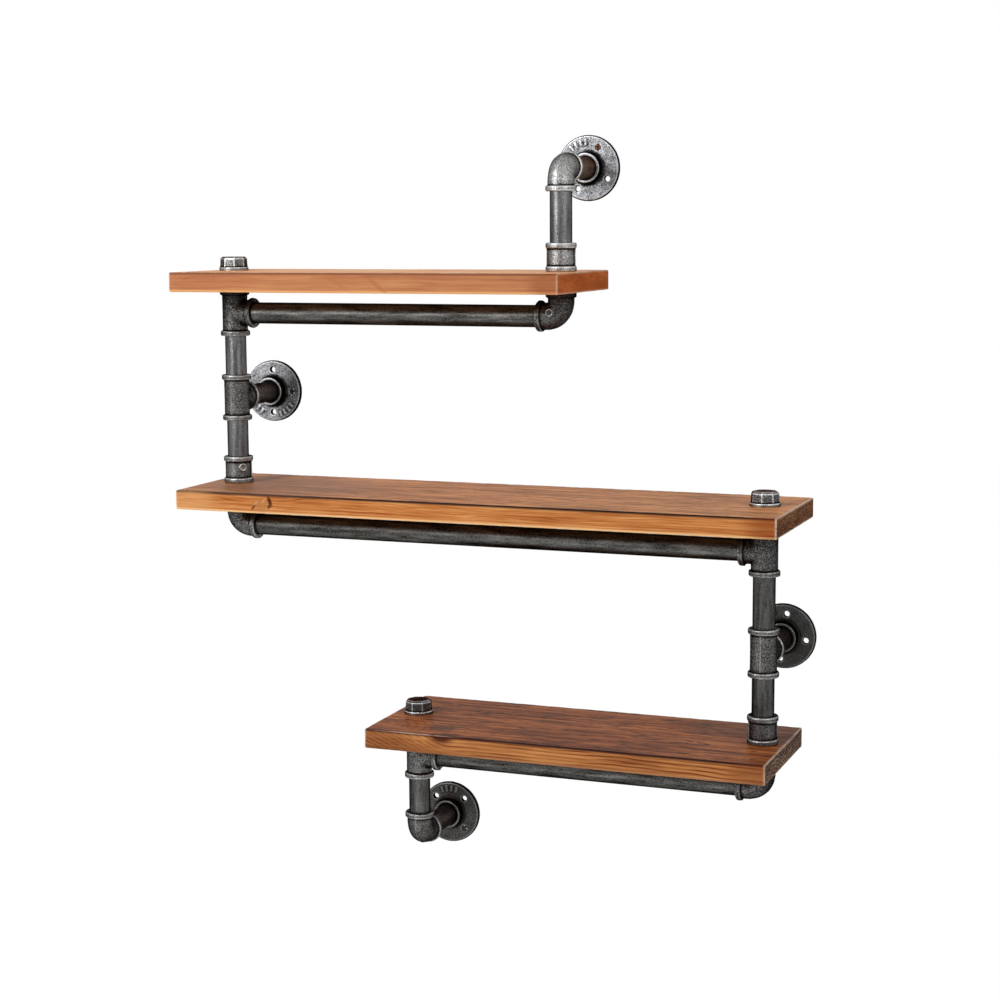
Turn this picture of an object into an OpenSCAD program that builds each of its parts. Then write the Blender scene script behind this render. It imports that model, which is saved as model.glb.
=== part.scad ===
// Wall shelving unit of three staggered boards carried by one run of iron pipe.
// The pipe leaves the wall at four flanges, and each board is clamped between a
// fitting below it and a coupling or a cap above it.
// Origin: centre of the back face of the top wall flange. +X runs to the right
// along the wall, +Z is up, and everything stands in front of the wall, at -Y.

/* [Pipe] */
// Outside diameter of every pipe, three-quarter inch nominal
pipe_d = 26.7; // [21:0.1:34]
// Wall thickness of every pipe
pipe_wall = 2.8; // [2:0.1:4]

/* [Fittings] */
// Wall of a fitting's body round the pipe that screws into it
fitting_wall = 2.45; // [2:0.05:4]
// How deep a fitting's mouth takes the end of a pipe
socket_depth = 12; // [9:0.5:18]
// Space left between an elbow's body and the centre of its bend
bend_throat = 1.1; // [0.5:0.1:6]
// Width of the band round each mouth of a fitting
band_w = 6.6; // [4:0.1:9]
// Height of that band above the fitting's body
band_proud = 2.6; // [1.5:0.1:4]
// Bevel along both edges of a band
band_bevel = 1; // [0.3:0.1:1.2]
// Solid stretch between the two mouths of a coupling
coupling_middle = 10; // [4:0.5:30]
// Width of the two grip ribs on a coupling
rib_w = 2.4; // [1.5:0.1:5]
// Height of those ribs above the coupling's body
rib_proud = 1.7; // [0.5:0.1:2.4]

/* [Caps] */
// Wall of a cap, from its socket to the middle of a flat
cap_wall = 2.8; // [1.6:0.1:5]
// How deep a cap's socket is
cap_depth = 13; // [9:0.5:20]
// Solid crown above the cap's socket
cap_crown = 4.5; // [3:0.5:12]
// Height of the round skirt that presses on the board
cap_skirt_h = 4.4; // [2:0.1:8]
// How far that skirt stands out past the corners of the head
cap_skirt_proud = 0.6; // [0.3:0.1:4]
// How much each flat of the head leans in from bottom to top
cap_draft = 0.8; // [0:0.1:1.5]
// Bevel round the top of the head
cap_bevel = 2.2; // [0.5:0.1:2.5]

/* [Wall flanges] */
// Diameter of a wall flange's plate
flange_d = 80; // [72:1:110]
// Thickness of that plate
flange_t = 6; // [4:0.5:10]
// Bevel round the front edge of the plate
flange_bevel = 1.4; // [0.4:0.1:2.5]
// Height of the whole flange, from the wall to the hub's rim
flange_h = 18; // [16:0.5:30]
// Wall of the hub round the pipe
hub_wall = 5.4; // [3.4:0.1:6]
// Bevel round the hub's rim
hub_bevel = 1.1; // [0.4:0.1:2]
// Bevel inside the hub's rim, where the pipe is started into its thread
hub_mouth = 1.8; // [0.5:0.1:2.2]
// Reach of the sloped foot where the hub meets the plate
hub_foot = 1.9; // [0.5:0.1:2.5]
// Diameter of the circle that the four screw holes lie on
hole_circle_d = 56; // [54:0.5:70]
// Diameter of a screw hole
hole_d = 7; // [4:0.5:8]
// Bevel round the mouth of a screw hole
hole_bevel = 0.7; // [0.3:0.1:1.5]
// Number of screw holes in a flange
hole_count = 4; // [3:1:4]

/* [Boards] */
// Thickness of the boards
board_t = 24; // [15:0.5:40]
// Board in front of the pipe's axis
board_front = 97; // [40:1:160]
// Board behind the pipe's axis
board_back = 89; // [30:1:95]
// Bevel that eases every edge of a board
board_ease = 1.2; // [0.3:0.1:4]
// Top board past its left column
top_left_overhang = 38; // [22:1:150]
// Top board past its right column
top_right_overhang = 30; // [22:1:150]
// Middle board past its left column
middle_left_overhang = 37; // [22:1:150]
// Middle board past its right column
middle_right_overhang = 37; // [22:1:150]
// Bottom board past its left column
bottom_left_overhang = 30; // [22:1:150]
// Bottom board past its right column
bottom_right_overhang = 27; // [22:1:150]

/* [Spacing] */
// Distance between the two columns of the top board
top_span = 438; // [150:1:900]
// Distance between the two columns of the middle board
middle_span = 688; // [300:1:1200]
// Distance between the two columns of the bottom board
bottom_span = 441; // [150:1:900]
// Pipe showing between the top wall elbow and the top coupling
top_riser_show = 60; // [20:1:300]
// Pipe showing between the top rail's tee and the left wall tee
left_upper_show = 49; // [20:1:300]
// Pipe showing between the left wall tee and the middle coupling
left_lower_show = 46; // [20:1:300]
// Pipe showing between the middle rail's tee and the right wall tee
right_upper_show = 62; // [20:1:300]
// Pipe showing between the right wall tee and the bottom coupling
right_lower_show = 46; // [20:1:300]
// Pipe showing between the bottom rail's tee and the bottom wall elbow
bottom_riser_show = 45; // [20:1:300]
// Pipe showing between a wall flange and its tee or elbow
wall_nipple_show = 57; // [45:1:150]

/* [Turns] */
// Turn of the top flange's holes, from the right, counter-clockwise
top_flange_turn = 62; // [0:1:90]
// Turn of the left flange's holes
left_flange_turn = 0; // [0:1:90]
// Turn of the right flange's holes
right_flange_turn = 82; // [0:1:90]
// Turn of the bottom flange's holes
bottom_flange_turn = 45; // [0:1:90]
// Turn of the top cap's flats
top_cap_turn = 8; // [-22:1:22]
// Turn of the middle cap's flats
middle_cap_turn = -22; // [-22:1:22]
// Turn of the bottom cap's flats
bottom_cap_turn = 17; // [-22:1:22]
// Turn of the top and middle couplings' ribs
left_ribs_turn = 10; // [-90:1:90]
// Turn of the bottom coupling's ribs
right_ribs_turn = 30; // [-90:1:90]

/* [Clearances] */
// Gap all round between a pipe and the socket that it fills
socket_clearance = 0.1; // [0.05:0.01:0.3]
// Gap between a pipe's end and the shoulder inside its socket
end_clearance = 0.4; // [0.2:0.1:1]
// Gap all round between a pipe and the hole in a board
board_clearance = 0.65; // [0.3:0.05:2]

/* [Hidden] */

$fn = 64;

iron = "#5b5c5f";
pipe_iron = "#4d4d4c";
stained_pine = "#b56f3e";

// Sizes that follow from the ones above
pipe_r = pipe_d / 2;
passage_r = pipe_r - pipe_wall;
socket_r = pipe_r + socket_clearance;
body_r = socket_r + fitting_wall;
band_r = body_r + band_proud;
bend_r = body_r + bend_throat;
// Distance from the centre of a tee or an elbow to each of its mouths
reach = bend_r + socket_depth;
// Length of pipe inside a socket
grip = socket_depth - end_clearance;
coupling_len = 2 * socket_depth + coupling_middle;
cap_grip = cap_depth - end_clearance;
cap_h = cap_depth + cap_crown;
hub_r = socket_r + hub_wall;
// Overrun of a cut past the face that it opens
overrun = 1;

// Distance of the pipe's axis from the wall
standoff = flange_h + wall_nipple_show + reach;

// Columns, from left to right
left_x = -top_span;
right_x = left_x + middle_span;
bottom_x = right_x - bottom_span;

// Heights, from the top flange down
top_board_z = -(reach + top_riser_show + coupling_len);
top_rail_z = top_board_z - board_t - reach;
left_wall_z = top_rail_z - reach - left_upper_show - reach;
middle_board_z = left_wall_z - reach - left_lower_show - coupling_len;
middle_rail_z = middle_board_z - board_t - reach;
right_wall_z = middle_rail_z - reach - right_upper_show - reach;
bottom_board_z = right_wall_z - reach - right_lower_show - coupling_len;
bottom_rail_z = bottom_board_z - board_t - reach;
bottom_wall_z = bottom_rail_z - reach - bottom_riser_show - reach;

// A place on the pipe's plane, above or below the top flange
module at_column(x, z) translate([x, -standoff, z]) children();

// A tube that stands on the origin
module tube(length) {
    color(pipe_iron)
    difference() {
        cylinder(r = pipe_r, h = length);
        translate([0, 0, -overrun]) cylinder(r = passage_r, h = length + 2 * overrun);
    }
}

// The raised band round one mouth, with its outer edge at the given height
module band(top_z) {
    bevel = min(band_bevel, band_w / 3);
    translate([0, 0, top_z - band_w])
    rotate_extrude()
    polygon([
        [0, 0], [band_r - bevel, 0], [band_r, bevel],
        [band_r, band_w - bevel], [band_r - bevel, band_w], [0, band_w],
    ]);
}

// The outside of one arm of a fitting, from a height above the centre to its mouth
module arm(from_z) {
    translate([0, 0, from_z]) cylinder(r = body_r, h = reach - from_z);
    band(reach);
}

// The socket at an arm's mouth
module socket() {
    translate([0, 0, reach - socket_depth]) cylinder(r = socket_r, h = socket_depth + overrun);
}

// A quarter of a bend from +Z round to +X, as thick as the circle that is given
module bend(r) {
    translate([bend_r, 0, bend_r])
    rotate([90, 0, 0])
    rotate([0, 0, 180])
    rotate_extrude(angle = 90)
    translate([bend_r, 0])
    circle(r = r);
}

// An elbow with one mouth up and the other to +X
module elbow() {
    color(iron)
    difference() {
        union() {
            bend(body_r);
            arm(bend_r);
            rotate([0, 90, 0]) arm(bend_r);
        }
        bend(passage_r);
        socket();
        rotate([0, 90, 0]) socket();
    }
}

// A tee with its run upright and its branch to +X
module tee() {
    color(iron)
    difference() {
        union() {
            arm(0);
            rotate([180, 0, 0]) arm(0);
            rotate([0, 90, 0]) arm(0);
        }
        translate([0, 0, -reach]) cylinder(r = passage_r, h = 2 * reach);
        rotate([0, 90, 0]) cylinder(r = passage_r, h = reach);
        socket();
        rotate([180, 0, 0]) socket();
        rotate([0, 90, 0]) socket();
    }
}

// A coupling that stands on the origin, with a grip rib on each side
module coupling(ribs_turn) {
    color(iron)
    difference() {
        union() {
            cylinder(r = body_r, h = coupling_len);
            band(band_w);
            band(coupling_len);
            rotate([0, 0, ribs_turn])
            translate([-body_r - rib_proud, -rib_w / 2, band_w / 2])
            cube([2 * (body_r + rib_proud), rib_w, coupling_len - band_w]);
        }
        translate([0, 0, -overrun]) cylinder(r = passage_r, h = coupling_len + 2 * overrun);
        translate([0, 0, -overrun]) cylinder(r = socket_r, h = socket_depth + overrun);
        translate([0, 0, coupling_len - socket_depth])
        cylinder(r = socket_r, h = socket_depth + overrun);
    }
}

// The drafted eight-sided head of a cap: four bevelled slabs, each turned an eighth of a turn
module cap_head() {
    foot = socket_r + cap_wall;
    crown = foot - cap_draft;
    intersection_for(eighth = [0:3])
    rotate([90, 0, eighth * 45])
    translate([0, 0, -2 * foot])
    linear_extrude(4 * foot)
    polygon([
        [-foot, 0], [foot, 0], [crown, cap_h - cap_bevel], [crown - cap_bevel, cap_h],
        [cap_bevel - crown, cap_h], [-crown, cap_h - cap_bevel],
    ]);
}

// A cap that stands on the origin, open at the bottom
module cap(turn) {
    corner_r = (socket_r + cap_wall) / cos(22.5);
    skirt_r = corner_r + cap_skirt_proud;
    slope = min(cap_skirt_proud, cap_skirt_h / 2);
    color(iron)
    difference() {
        union() {
            rotate([0, 0, turn]) cap_head();
            rotate_extrude()
            polygon([[0, 0], [skirt_r, 0], [skirt_r, cap_skirt_h - slope],
                [skirt_r - slope, cap_skirt_h], [0, cap_skirt_h]]);
        }
        translate([0, 0, -overrun]) cylinder(r = socket_r, h = cap_depth + overrun);
    }
}

// A wall flange with its plate on the plane y = 0 and its hub pointing to the front
module flange(turn) {
    foot_r = hub_r + hub_foot;
    color(iron)
    rotate([90, 0, 0])
    difference() {
        rotate_extrude()
        polygon([
            [socket_r, 0], [flange_d / 2, 0], [flange_d / 2, flange_t - flange_bevel],
            [flange_d / 2 - flange_bevel, flange_t], [foot_r, flange_t],
            [hub_r, flange_t + hub_foot], [hub_r, flange_h - hub_bevel],
            [hub_r - hub_bevel, flange_h], [socket_r + hub_mouth, flange_h],
            [socket_r, flange_h - hub_mouth],
        ]);
        for (hole = [0:hole_count - 1])
            rotate([0, 0, turn + hole * 360 / hole_count])
            translate([hole_circle_d / 2, 0, 0])
            screw_hole();
    }
}

// A screw hole through a flange's plate, bevelled at its mouth
module screw_hole() {
    translate([0, 0, -overrun]) cylinder(d = hole_d, h = flange_t + 2 * overrun);
    translate([0, 0, flange_t - hole_bevel])
    cylinder(r1 = hole_d / 2, r2 = hole_d / 2 + hole_bevel + overrun, h = hole_bevel + overrun);
}

// A rectangle with its four corners cut off
module eased_rectangle(width, height) {
    polygon([
        [board_ease, 0], [width - board_ease, 0], [width, board_ease],
        [width, height - board_ease], [width - board_ease, height],
        [board_ease, height], [0, height - board_ease], [0, board_ease],
    ]);
}

// A board between two columns, with its top at the given height and a hole at each column
module board(first_x, last_x, left_overhang, right_overhang, top_z) {
    length = last_x - first_x + left_overhang + right_overhang;
    depth = board_front + board_back;
    color(stained_pine)
    translate([0, -standoff, top_z - board_t])
    difference() {
        translate([first_x - left_overhang, -board_front, 0])
        intersection() {
            linear_extrude(board_t) eased_rectangle(length, depth);
            translate([0, depth, 0])
            rotate([90, 0, 0])
            linear_extrude(depth)
            eased_rectangle(length, board_t);
            rotate([90, 0, 90]) linear_extrude(length) eased_rectangle(depth, board_t);
        }
        for (x = [first_x, last_x])
            translate([x, 0, -overrun])
            cylinder(r = pipe_r + board_clearance, h = board_t + 2 * overrun);
    }
}

// An upright pipe whose lower end is gripped below the given height
module upright(x, z, show) at_column(x, z - grip) tube(show + 2 * grip);

// A short pipe through a board, from the fitting below it into what clamps it from above
module through_nipple(x, top_z, upper_grip) {
    at_column(x, top_z - board_t - grip) tube(grip + board_t + upper_grip);
}

// A rail between the mouths of the fittings on two columns
module rail(first_x, last_x, z) {
    at_column(first_x + reach - grip, z)
    rotate([0, 90, 0])
    tube(last_x - first_x - 2 * reach + 2 * grip);
}

// A pipe from a wall flange's hub to the fitting in front of it
module wall_nipple(x, z) {
    translate([x, -flange_h + grip, z])
    rotate([90, 0, 0])
    tube(wall_nipple_show + 2 * grip);
}

module top_wall_flange() flange(top_flange_turn);
module left_wall_flange() translate([left_x, 0, left_wall_z]) flange(left_flange_turn);
module right_wall_flange() translate([right_x, 0, right_wall_z]) flange(right_flange_turn);
module bottom_wall_flange() translate([bottom_x, 0, bottom_wall_z]) flange(bottom_flange_turn);

module top_wall_nipple() wall_nipple(0, 0);
module left_wall_nipple() wall_nipple(left_x, left_wall_z);
module right_wall_nipple() wall_nipple(right_x, right_wall_z);
module bottom_wall_nipple() wall_nipple(bottom_x, bottom_wall_z);

module top_wall_elbow() at_column(0, 0) rotate([0, 0, 90]) mirror([0, 0, 1]) elbow();
module left_wall_tee() at_column(left_x, left_wall_z) rotate([0, 0, 90]) tee();
module right_wall_tee() at_column(right_x, right_wall_z) rotate([0, 0, 90]) tee();
module bottom_wall_elbow() at_column(bottom_x, bottom_wall_z) rotate([0, 0, 90]) elbow();

module top_riser() upright(0, top_board_z + coupling_len, top_riser_show);
module left_upper_riser() upright(left_x, left_wall_z + reach, left_upper_show);
module left_lower_riser() upright(left_x, middle_board_z + coupling_len, left_lower_show);
module right_upper_riser() upright(right_x, right_wall_z + reach, right_upper_show);
module right_lower_riser() upright(right_x, bottom_board_z + coupling_len, right_lower_show);
module bottom_riser() upright(bottom_x, bottom_wall_z + reach, bottom_riser_show);

module top_coupling() at_column(0, top_board_z) coupling(left_ribs_turn);
module middle_coupling() at_column(left_x, middle_board_z) coupling(left_ribs_turn);
module bottom_coupling() at_column(right_x, bottom_board_z) coupling(right_ribs_turn);

module top_cap() at_column(left_x, top_board_z) cap(top_cap_turn);
module middle_cap() at_column(right_x, middle_board_z) cap(middle_cap_turn);
module bottom_cap() at_column(bottom_x, bottom_board_z) cap(bottom_cap_turn);

module top_board() board(left_x, 0, top_left_overhang, top_right_overhang, top_board_z);
module middle_board() board(left_x, right_x, middle_left_overhang, middle_right_overhang, middle_board_z);
module bottom_board() board(bottom_x, right_x, bottom_left_overhang, bottom_right_overhang, bottom_board_z);

module top_coupling_nipple() through_nipple(0, top_board_z, grip);
module middle_coupling_nipple() through_nipple(left_x, middle_board_z, grip);
module bottom_coupling_nipple() through_nipple(right_x, bottom_board_z, grip);

module top_cap_nipple() through_nipple(left_x, top_board_z, cap_grip);
module middle_cap_nipple() through_nipple(right_x, middle_board_z, cap_grip);
module bottom_cap_nipple() through_nipple(bottom_x, bottom_board_z, cap_grip);

module top_rail_tee() at_column(left_x, top_rail_z) tee();
module middle_rail_tee() at_column(right_x, middle_rail_z) rotate([0, 0, 180]) tee();
module bottom_rail_tee() at_column(bottom_x, bottom_rail_z) tee();

module top_rail_elbow() at_column(0, top_rail_z) rotate([0, 0, 180]) elbow();
module middle_rail_elbow() at_column(left_x, middle_rail_z) elbow();
module bottom_rail_elbow() at_column(right_x, bottom_rail_z) rotate([0, 0, 180]) elbow();

module top_rail() rail(left_x, 0, top_rail_z);
module middle_rail() rail(left_x, right_x, middle_rail_z);
module bottom_rail() rail(bottom_x, right_x, bottom_rail_z);

top_wall_flange();
left_wall_flange();
right_wall_flange();
bottom_wall_flange();
top_wall_nipple();
left_wall_nipple();
right_wall_nipple();
bottom_wall_nipple();
top_wall_elbow();
left_wall_tee();
right_wall_tee();
bottom_wall_elbow();
top_riser();
left_upper_riser();
left_lower_riser();
right_upper_riser();
right_lower_riser();
bottom_riser();
top_coupling();
middle_coupling();
bottom_coupling();
top_cap();
middle_cap();
bottom_cap();
top_board();
middle_board();
bottom_board();
top_coupling_nipple();
middle_coupling_nipple();
bottom_coupling_nipple();
top_cap_nipple();
middle_cap_nipple();
bottom_cap_nipple();
top_rail_tee();
middle_rail_tee();
bottom_rail_tee();
top_rail_elbow();
middle_rail_elbow();
bottom_rail_elbow();
top_rail();
middle_rail();
bottom_rail();
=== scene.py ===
import math

import bmesh
import bpy
import numpy as np
from mathutils import Matrix, Vector, noise


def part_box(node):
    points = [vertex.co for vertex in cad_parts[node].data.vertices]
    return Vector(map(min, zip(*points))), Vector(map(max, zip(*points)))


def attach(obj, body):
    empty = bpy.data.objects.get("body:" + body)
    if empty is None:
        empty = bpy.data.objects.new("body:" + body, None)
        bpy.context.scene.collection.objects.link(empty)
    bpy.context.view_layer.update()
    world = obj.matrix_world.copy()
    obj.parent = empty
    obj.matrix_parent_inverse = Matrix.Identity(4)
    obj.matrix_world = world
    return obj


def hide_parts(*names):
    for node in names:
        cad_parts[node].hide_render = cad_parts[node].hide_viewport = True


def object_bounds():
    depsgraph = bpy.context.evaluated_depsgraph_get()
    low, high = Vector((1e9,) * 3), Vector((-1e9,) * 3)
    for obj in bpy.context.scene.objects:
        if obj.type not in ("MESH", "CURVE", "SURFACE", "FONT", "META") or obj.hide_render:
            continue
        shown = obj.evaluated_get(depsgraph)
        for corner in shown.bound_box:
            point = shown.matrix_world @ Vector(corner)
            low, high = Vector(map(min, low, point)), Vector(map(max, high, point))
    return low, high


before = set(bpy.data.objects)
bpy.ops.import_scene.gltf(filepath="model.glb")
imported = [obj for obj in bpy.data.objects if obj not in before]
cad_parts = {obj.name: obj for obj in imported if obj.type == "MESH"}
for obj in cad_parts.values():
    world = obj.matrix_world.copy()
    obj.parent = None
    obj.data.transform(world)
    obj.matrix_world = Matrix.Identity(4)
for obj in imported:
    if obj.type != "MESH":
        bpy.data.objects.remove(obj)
cad_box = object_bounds()
MM = 0.001

# Wall flanges
# Four round malleable-iron plates with a hub for the pipe, screwed to the wall at four holes.
# They are sand cast, stained black and rubbed with silver wax, which stays on what stands proud.

MERGE = 0.001 * MM
CAST_VOXEL = 0.6 * MM
CAST_ROUNDING = 3

# A point is fully proud or hollow where it lies this far off the skin smoothed this many times.
CAST_STANDS = ((30, 0.6 * MM), (5, 0.12 * MM))
FLANGE_STANDS = ((30, 0.9 * MM), (5, 0.15 * MM))

# The lumps that the sand leaves: how long and how high they are.
SAND_LUMPS = ((6 * MM, 0.1 * MM), (1.9 * MM, 0.05 * MM))

# Ridges on a casting, with how far they count as proud.
SEAM_HEIGHT = 0.45 * MM
SEAM_HALF_WIDTH = 0.7 * MM
SEAM_PROUD = 0.5
RING_R = 4 * MM
RING_HEIGHT = 0.8 * MM
RING_HALF_WIDTH = 0.8 * MM
RING_PROUD = 0.8

# The inner corners where the arms of a fitting meet are rounded more.
JUNCTION_R = 22 * MM
JUNCTION_FADE = 2 * MM
JUNCTION_ROUNDING = 60

# Painted shade under a board: how far below it edges get their rubbed brightness back, as a
# multiple of the depth that stays black.
PAINTED_SHADE_REACH = 2.8

IRON_BLACK = "#1b1a19"
RUST_BROWN = "#5a3d2c"
BARE_IRON = "#d4d4d2"
# Share of the wax left at the bottom of the unit, against its top: painted falloff of the light
# from above, which darkens the pieces low down.
PAINTED_FALLOFF_AT_BASE = 0.7
WAX_ON_PROUD = 1.3
WAX_IN_HOLLOW = -1.6
BARE_SHARE = 0.85
STAIN_ROUGHER = 0.1
RUST_CLOUD_MM = 42

# The patterns of the iron, and which part of them shows as rust and as bare metal.
STROKES = {"Scale": 1, "Detail": 4, "Roughness": 0.6}
SPECKS = {"Detail": 3, "Roughness": 0.8}
CLOUDS = {"Detail": 2, "Roughness": 0.5}
RUST_RANGE = {"From Min": 0.5, "From Max": 0.72}
BARE_RANGE = {"From Min": 0.9, "From Max": 1.9, "To Max": BARE_SHARE}
GRIT_BUMP = {"Strength": 0.7, "Distance": 0.4 * MM}

# The sockets of a colour mix: its share, the colour under, the colour laid over it, and what
# they make.
SHARE, UNDER, LAID, MIXED = 0, 6, 7, 2


def linear(colour):
    """An sRGB hex colour as the linear values that a socket takes."""
    shares = [int(colour[i : i + 2], 16) / 255 for i in (1, 3, 5)]
    return [s / 12.92 if s <= 0.04045 else ((s + 0.055) / 1.055) ** 2.4 for s in shares] + [1]


def per(size_mm):
    """The pattern scale at which one feature is that many millimetres long."""
    return 1 / (size_mm * MM)


def add(tree, kind, given):
    """Adds a node to the tree. Each of its settings and sockets is given a value, a hex colour or
    the output that it is linked to."""
    node = tree.nodes.new(kind)
    for key, value in given.items():
        if isinstance(value, bpy.types.NodeSocket):
            tree.links.new(value, node.inputs[key])
        elif isinstance(value, str) and value.startswith("#"):
            node.inputs[key].default_value = linear(value)
        elif isinstance(key, str) and hasattr(node, key):
            setattr(node, key, value)
        else:
            node.inputs[key].default_value = value
    return node


def new_material(name):
    """A new material, with its tree and its shader."""
    made = bpy.data.materials.new(name)
    made.use_nodes = True
    return made, made.node_tree, made.node_tree.nodes["Principled BSDF"]


def iron(
    name,
    bright,
    cover,
    rust=0.2,
    brush=(11, 11, 11),
    streaks=0.45,
    grit=(1.5, 3.8),
    rough=0.34,
    aslant="#0a0a0a",
):
    """Black-stained iron with silver wax rubbed over it: a dark metal that glitters where the wax
    caught, and is brightest on the edges that are rubbed bare.
    cover is the share of the surface that took the wax, brush the size of its strokes in
    millimetres and streaks how strongly they show, and grit the same two for its specks. Real
    grit is finer, and is drawn as coarse as it needs to show. aslant is the colour where the
    surface is seen nearly edge on."""
    made, tree, shader = new_material(name)
    place = add(tree, "ShaderNodeTexCoord", {}).outputs["Object"]
    scale = [per(size) for size in brush]
    brushed = add(tree, "ShaderNodeMapping", {"Vector": place, "Scale": scale}).outputs["Vector"]
    grit_mm, grit_share = grit
    patches, specks, clouds = (
        add(tree, "ShaderNodeTexNoise", pattern).outputs["Fac"]
        for pattern in (
            {"Vector": brushed, **STROKES},
            {"Vector": place, "Scale": per(grit_mm), **SPECKS},
            {"Vector": place, "Scale": per(RUST_CLOUD_MM), **CLOUDS},
        )
    )
    proud, hollow = (
        add(tree, "ShaderNodeAttribute", {"attribute_name": layer}).outputs["Fac"]
        for layer in ("proud", "hollow")
    )
    level = (streaks + grit_share) / 2
    # The wax share falls from cover at the top of the unit towards its bottom, as painted shade.
    painted_falloff = {
        "Value": add(tree, "ShaderNodeSeparateXYZ", {"Vector": place}).outputs["Z"],
        "From Min": cad_box[0].z,
        "From Max": cad_box[1].z,
        "To Min": cover * PAINTED_FALLOFF_AT_BASE - level,
        "To Max": cover - level,
    }
    share = add(tree, "ShaderNodeMapRange", painted_falloff).outputs["Result"]
    for pattern, weight in (
        (patches, streaks),
        (specks, grit_share),
        (proud, WAX_ON_PROUD),
        (hollow, WAX_IN_HOLLOW),
    ):
        terms = {"operation": "MULTIPLY_ADD", 0: pattern, 1: weight, 2: share}
        share = add(tree, "ShaderNodeMath", terms).outputs[0]
    wax = add(tree, "ShaderNodeClamp", {"Value": share}).outputs["Result"]
    rusty, bare, dull = (
        add(tree, "ShaderNodeMapRange", spread).outputs["Result"]
        for spread in (
            {"Value": clouds, "To Max": rust, **RUST_RANGE},
            {"Value": share, **BARE_RANGE},
            {"Value": wax, "To Min": rough + STAIN_ROUGHER, "To Max": rough},
        )
    )
    colour = IRON_BLACK
    for tone, amount in ((RUST_BROWN, rusty), (bright, wax), (BARE_IRON, bare)):
        mix = {"data_type": "RGBA", SHARE: amount, UNDER: colour, LAID: tone}
        colour = add(tree, "ShaderNodeMix", mix).outputs[MIXED]
    relief = add(tree, "ShaderNodeBump", {"Height": specks, **GRIT_BUMP}).outputs["Normal"]
    tree.links.new(colour, shader.inputs["Base Color"])
    tree.links.new(dull, shader.inputs["Roughness"])
    tree.links.new(relief, shader.inputs["Normal"])
    shader.inputs["Metallic"].default_value = 1
    shader.inputs["Specular Tint"].default_value = linear(aslant)
    return made


def linked(name, data):
    """A new object in the scene."""
    made = bpy.data.objects.new(name, data)
    bpy.context.scene.collection.objects.link(made)
    return made


def finished(bm, name):
    """The mesh that a bmesh was shaped for."""
    mesh = bpy.data.meshes.new(name)
    bm.to_mesh(mesh)
    bm.free()
    return mesh


def show(name, mesh, material, slot, *replaced):
    """Puts a finished mesh in the scene on the body that everything is screwed to."""
    piece = linked(name, mesh)
    mesh.materials.clear()
    mesh.materials.append(material)
    for face in mesh.polygons:
        face.use_smooth = True
    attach(piece, "root")
    if replaced:
        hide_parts(*replaced)


def evaluated(mesh, add_modifiers):
    """The mesh with modifiers applied to it."""
    holder = linked("holder", mesh)
    add_modifiers(holder)
    depsgraph = bpy.context.evaluated_depsgraph_get()
    made = bpy.data.meshes.new_from_object(holder.evaluated_get(depsgraph))
    bpy.data.objects.remove(holder)
    return made


def rows(data, name, width, kind=float):
    """What a mesh says of its points or edges, as one row for each."""
    values = np.empty(len(data) * width, dtype=kind)
    data.foreach_get(name, values)
    return values.reshape(-1, width)


def smoothed(points, edges, passes, share=0.5):
    """The points of a skin after each has moved towards the middle of its neighbours so many
    times."""
    ends = np.concatenate((edges, edges[:, ::-1]))
    neighbours = np.bincount(ends[:, 0])[:, None]
    for _ in range(passes):
        sums = [np.bincount(ends[:, 0], points[ends[:, 1], axis]) for axis in range(3)]
        points = points + (np.stack(sums, axis=1) / neighbours - points) * share
    return points


def remeshed(node, add_marks, voxel):
    """A node's solid with its marks, as one even skin."""
    solid = bmesh.new()
    solid.from_mesh(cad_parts[node].data)
    bmesh.ops.remove_doubles(solid, verts=solid.verts, dist=MERGE)
    if add_marks:
        add_marks(solid)

    def remesh(holder):
        modifier = holder.modifiers.new("sand", "REMESH")
        modifier.mode = "VOXEL"
        modifier.voxel_size = voxel
        modifier.use_smooth_shade = True

    return evaluated(finished(solid, node), remesh)


def seam_rise(points, normals, axis, centre):
    """1 along the seam on the outside of a casting, fading to 0 beside it."""
    aside = np.abs(points[:, axis] - centre[axis])
    outer = ((points - centre) * normals).sum(axis=1) > 0
    return np.exp(-((aside / SEAM_HALF_WIDTH) ** 2)) * outer


def ring_rise(points, normals, x_mm, z_mm):
    """1 along a ring round the place on the front, fading to 0 beside it."""
    aside = np.hypot(points[:, 0] - x_mm * MM, points[:, 2] - z_mm * MM)
    spot = points[np.argmin(aside + (normals[:, 1] > 0))]
    off_ring = np.linalg.norm(points - spot, axis=1) - RING_R
    return np.exp(-((off_ring / RING_HALF_WIDTH) ** 2))


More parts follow.
